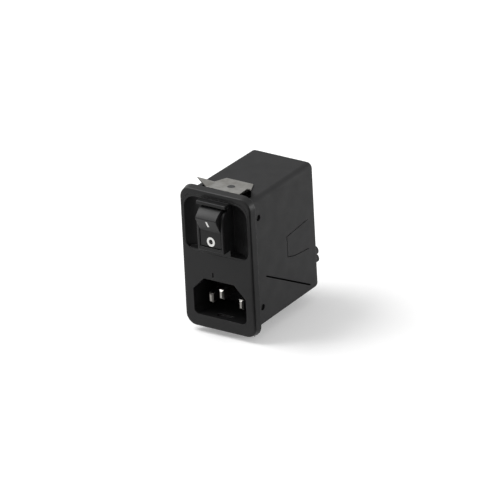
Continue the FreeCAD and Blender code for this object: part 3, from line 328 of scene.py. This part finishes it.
contact_metal = metal("contact_metal", (0.72, 0.56, 0.31), (0.50, 0.36, 0.20), 0.30, (12.0, 1.0, 12.0))
tab_metal = metal("tab_metal", (0.70, 0.69, 0.66), (0.52, 0.50, 0.46), 0.28, (12.0, 1.0, 12.0))
fuse_glass = clear_glass("fuse_glass")
sign_ink = printed_ink("sign_ink")

FINISHES = (
    (bezel_plastic, ("front_bezel", "fuse_drawer")),
    (shell_plastic, ("housing_shell",)),
    (rocker_plastic, ("rocker",)),
    (switch_plastic, ("switch_body", "contact_carrier", "blade_retainer")),
    (spring_steel, ("upper_panel_clip", "lower_panel_clip", "rocker_axle")),
    (plated_metal, ("earth_blade", "line_blade", "neutral_blade", "line_fuse_caps", "neutral_fuse_caps")),
    (contact_metal, (
        "line_switch_in", "line_switch_out", "neutral_switch_in", "neutral_switch_out",
        "line_fuse_clip_upper", "line_fuse_clip_lower", "neutral_fuse_clip_upper", "neutral_fuse_clip_lower",
        "line_fuse_wire", "neutral_fuse_wire")),
    (tab_metal, ("earth_tab", "line_tab", "neutral_tab")),
    (fuse_glass, ("line_fuse_glass", "neutral_fuse_glass")),
)
for finish, names in FINISHES:
    for name in names:
        mesh_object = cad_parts[name]
        if not mesh_object.material_slots:
            mesh_object.data.materials.append(None)
        for slot in mesh_object.material_slots:
            slot.material = finish


# Pieces


def flange_edge(x, z, half, tall):
    """How far a point lies inside the flange's outline, and the way out, in millimetres."""
    across, up = abs(x) - half + FLANGE_CORNER, abs(z) - tall + FLANGE_CORNER
    if across > 0 and up > 0:
        reach = math.hypot(across, up)
        return FLANGE_CORNER - reach, Vector((math.copysign(across, x), 0.0, math.copysign(up, z))) / reach
    if half - abs(x) < tall - abs(z):
        return half - abs(x), Vector((math.copysign(1.0, x), 0.0, 0.0))
    return tall - abs(z), Vector((0.0, 0.0, math.copysign(1.0, z)))


def crisp_bezel():
    """The bezel as the photograph shows it: its solid's mesh with a crisper, slightly drafted flange edge."""
    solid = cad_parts["front_bezel"]
    half, tall = (max(abs(vertex.co[axis]) for vertex in solid.data.vertices) / MM for axis in (0, 2))
    mesh = solid.data.copy()
    normals = [Vector(corner.vector) for corner in mesh.corner_normals]
    drafted = set()
    for vertex in mesh.vertices:
        x, y, z = vertex.co / MM
        inset, outward = flange_edge(x, z, half, tall)
        rise = (EDGE_SOLID - inset) / EDGE_SOLID
        ahead = (EDGE_SOLID - FLANGE_THICKNESS - y) / EDGE_SOLID
        if abs(inset) < NEAR and -NEAR < -y < FLANGE_THICKNESS:
            drafted.add(vertex.index)
        if rise < 2 * NEAR or ahead < -NEAR or abs(math.hypot(rise, ahead) - 1.0) > NEAR:
            continue
        drafted.add(vertex.index)
        depth = FLANGE_THICKNESS - EDGE_SEEN * (1.0 - ahead)
        seen = EDGE_DRAFT * depth + EDGE_SEEN * (1.0 - rise)
        place = Vector((x, -depth, z)) + outward * (inset - seen)
        vertex.co = place * MM
    for loop in mesh.loops:
        if loop.vertex_index in drafted:
            normal = normals[loop.index]
            normal.y -= EDGE_DRAFT * math.hypot(normal.x, normal.z)
            normal.normalize()
    mesh.normals_split_custom_set(normals)
    piece = bpy.data.objects.new("bezel_moulding", mesh)
    bpy.context.collection.objects.link(piece)
    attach(piece, "root")
    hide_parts("front_bezel")


crisp_bezel()


def made_piece(name, mesh_data, material, body):
    """Makes a piece from a bmesh, with its material and body."""
    mesh = bpy.data.meshes.new(name)
    bmesh.ops.recalc_face_normals(mesh_data, faces=mesh_data.faces)
    mesh_data.to_mesh(mesh)
    mesh_data.free()
    piece = bpy.data.objects.new(name, mesh)
    bpy.context.collection.objects.link(piece)
    mesh.materials.append(material)
    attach(piece, body)


def inner_partition():
    """The insulating wall inside the shell, between earth and line, that no light passes."""
    made = bmesh.new()
    near, far = (
        [made.verts.new(Vector((x, y, z)) * MM) for y, z in PARTITION_OUTLINE] for x in PARTITION_FACES)
    made.faces.new(near)
    made.faces.new(far)
    for index in range(len(PARTITION_OUTLINE)):
        after = (index + 1) % len(PARTITION_OUTLINE)
        made.faces.new((near[index], near[after], far[after], far[index]))
    made_piece("inner_partition", made, shell_plastic, "root")


inner_partition()


def rocker_facet(upward):
    """The matrix from a rocker facet's own plane, X right, Y up and Z out, to the part at rest."""
    crest_up = math.sqrt(ROCKER_RADIUS ** 2 - CREST_REACH ** 2)
    swing = math.radians(HALF_SWING)
    fold = CREST_REACH - crest_up * math.tan(swing)
    tilt = Matrix.Rotation(swing, 4, "X")
    centre = Vector((0.0, -(fold + CREST_REACH) / 2, upward * crest_up / 2))
    along = Vector((0.0, -(CREST_REACH - fold) * upward, crest_up)).normalized()
    right = Vector((1.0, 0.0, 0.0))
    out = right.cross(along)
    turn = Matrix((right, along, out)).transposed().to_4x4()
    place = Matrix.Translation(Vector((0.0, PIVOT_Y, PIVOT_Z)) * MM) @ tilt
    return place @ Matrix.Translation(centre * MM) @ turn


def swept_ring(points, closed, half_width, height, section=7):
    """A flat-topped, round-shouldered band along a line of points in a plane, in millimetres."""
    made = bmesh.new()
    count = len(points)
    rows = []
    for index, point in enumerate(points):
        before = points[index - 1] if closed or index else point
        after = points[(index + 1) % count] if closed or index < count - 1 else point
        way = (Vector(after) - Vector(before)).normalized()
        side = Vector((-way.y, way.x))
        row = []
        for step in range(section):
            angle = math.pi * step / (section - 1)
            across = math.copysign(abs(math.cos(angle)) ** SHOULDER_ACROSS, math.cos(angle)) * half_width
            up = math.sin(angle) ** SHOULDER_UP * height
            spot = Vector(point) + side * across
            row.append(made.verts.new(Vector((spot.x, spot.y, up)) * MM))
        rows.append(row)
    for index in range(count if closed else count - 1):
        near, far = rows[index], rows[(index + 1) % count]
        for step in range(section - 1):
            made.faces.new((near[step], far[step], far[step + 1], near[step + 1]))
        made.faces.new((near[-1], far[-1], far[0], near[0]))
    if not closed:
        made.faces.new(rows[0])
        made.faces.new(rows[-1])
    return made


def ring_points():
    """Points round the middle line of the off ring."""
    angles = [math.tau * step / RING_STEPS for step in range(RING_STEPS)]
    return [(RING_HALF_WIDTH * math.cos(angle), RING_HALF_HEIGHT * math.sin(angle)) for angle in angles]


def bar_points():
    """Points up the middle line of the on bar."""
    return [(0.0, -BAR_LENGTH / 2 + BAR_LENGTH * step / BAR_STEPS) for step in range(BAR_STEPS + 1)]


def place_sign(name, shape, upward, rise):
    """Puts a sign on the rocker's upper (1) or lower (-1) facet."""
    shape.transform(rocker_facet(upward) @ Matrix.Translation(Vector((0.0, rise, 0.0)) * MM))
    made_piece(name, shape, sign_ink, "rocker")


place_sign("rocker_off_sign", swept_ring(ring_points(), True, RING_LINE, SIGN_HEIGHT), -1, RING_RISE)
place_sign("rocker_on_sign", swept_ring(bar_points(), False, BAR_LINE, SIGN_HEIGHT), 1, BAR_RISE)


# Stage, light and camera


def floor_shader():
    """A pale floor that keeps the part's shadow and reads white to the camera, gloss and glass."""
    shader = Shader("stage_floor")
    shader.plain(Roughness=0.8, Specular_IOR_Level=0.1, Base_Color=(0.88, 0.88, 0.88, 1.0))
    path = shader.add("ShaderNodeLightPath")
    seen = shader.math("ADD", path.outputs["Is Camera Ray"], path.outputs["Is Glossy Ray"])
    seen = shader.math("ADD", seen, path.outputs["Is Transmission Ray"])
    shader.set(Emission_Strength=shader.math("MULTIPLY", seen, FLOOR_GLOW))
    shader.plain(Emission_Color=(1.0, 1.0, 1.0, 1.0))
    return shader.material


def card_shader():
    """Black studio card with a faint paper mottle."""
    shader = Shader("stage_card")
    shader.set(Base_Color=shader.blend(shader.noise(40.0), (0.008, 0.008, 0.008), (0.012, 0.012, 0.012)))
    shader.plain(Roughness=0.9, Specular_IOR_Level=0.0)
    return shader.material


def stage_sheet(name, faces, material):
    """Flat sheets of the stage, each a list of corners in millimetres."""
    made = bmesh.new()
    for corners in faces:
        made.faces.new([made.verts.new(Vector(corner) * MM) for corner in corners])
    mesh = bpy.data.meshes.new(name)
    made.to_mesh(mesh)
    made.free()
    sheet = bpy.data.objects.new(name, mesh)
    bpy.context.collection.objects.link(sheet)
    mesh.materials.append(material)
    return sheet


def make_stage(height):
    """The floor, and the black card in front and to the right that only gloss sees."""
    corners = ((-1, -1), (1, -1), (1, 1), (-1, 1))
    floor = [(across * FLOOR_REACH, along * FLOOR_REACH, height) for across, along in corners]
    stage_sheet("floor", [floor], floor_shader())
    low = height + CARD_LIFT
    edge = CARD_OUTLINE[CARD_STANDS]
    faces = [[(x, y, low) for x, y in CARD_OUTLINE]]
    for (x, y), (next_x, next_y) in zip(edge, edge[1:]):
        faces.append([(x, y, low), (next_x, next_y, low), (next_x, next_y, CARD_TOP), (x, y, CARD_TOP)])
    card = stage_sheet("card", faces, card_shader())
    card.visible_camera = False
    card.visible_diffuse = False
    card.visible_transmission = False
    card.visible_shadow = False


def make_world(level):
    """An even pale surround for light, white where the camera, gloss or glass sees it."""
    world = bpy.data.worlds.new("surround")
    bpy.context.scene.world = world
    world.use_nodes = True
    tree = world.node_tree
    tree.nodes.clear()
    output = tree.nodes.new("ShaderNodeOutputWorld")
    background = tree.nodes.new("ShaderNodeBackground")
    path = tree.nodes.new("ShaderNodeLightPath")
    background.inputs["Color"].default_value = (1.0, 1.0, 1.0, 1.0)
    total = path.outputs["Is Camera Ray"]
    for ray in ("Is Glossy Ray", "Is Transmission Ray"):
        add = tree.nodes.new("ShaderNodeMath")
        add.operation = "ADD"
        tree.links.new(total, add.inputs[0])
        tree.links.new(path.outputs[ray], add.inputs[1])
        total = add.outputs["Value"]
    strength = tree.nodes.new("ShaderNodeMapRange")
    strength.inputs["To Min"].default_value = level
    strength.inputs["To Max"].default_value = 1.0
    tree.links.new(total, strength.inputs["Value"])
    tree.links.new(strength.outputs["Result"], background.inputs["Strength"])
    tree.links.new(background.outputs["Background"], output.inputs["Surface"])


def area_lamp(name, place, target, width, height, power):
    """A soft box, in millimetres, that faces a point."""
    light = bpy.data.lights.new(name, "AREA")
    light.shape = "RECTANGLE"
    light.size = width * MM
    light.size_y = height * MM
    light.energy = power
    lamp = bpy.data.objects.new(name, light)
    lamp.location = Vector(place) * MM
    lamp.rotation_euler = (Vector(target) - Vector(place)).to_track_quat("-Z", "Y").to_euler()
    bpy.context.collection.objects.link(lamp)


make_stage(cad_box[0][2] / MM - FLOOR_DROP)
make_world(WORLD_LEVEL)
area_lamp("top_box", (-400.0, -130.0, 560.0), (0.0, 5.0, 0.0), 460.0, 460.0, 4.4)
area_lamp("right_box", (560.0, 380.0, 60.0), (0.0, 20.0, 0.0), 360.0, 360.0, 3.8)

camera_data = bpy.data.cameras.new("camera")
camera_data.lens = CAMERA_LENS
camera_data.sensor_width = SENSOR_WIDTH
camera_data.clip_end = 100.0
camera = bpy.data.objects.new("camera", camera_data)
turn = Matrix((CAMERA_RIGHT, -CAMERA_DOWN, -CAMERA_FORWARD)).transposed().to_4x4()
camera.matrix_world = Matrix.Translation(CAMERA_PLACE * MM) @ turn
bpy.context.collection.objects.link(camera)
bpy.context.scene.camera = camera
bpy.context.scene.view_settings.view_transform = "Standard"
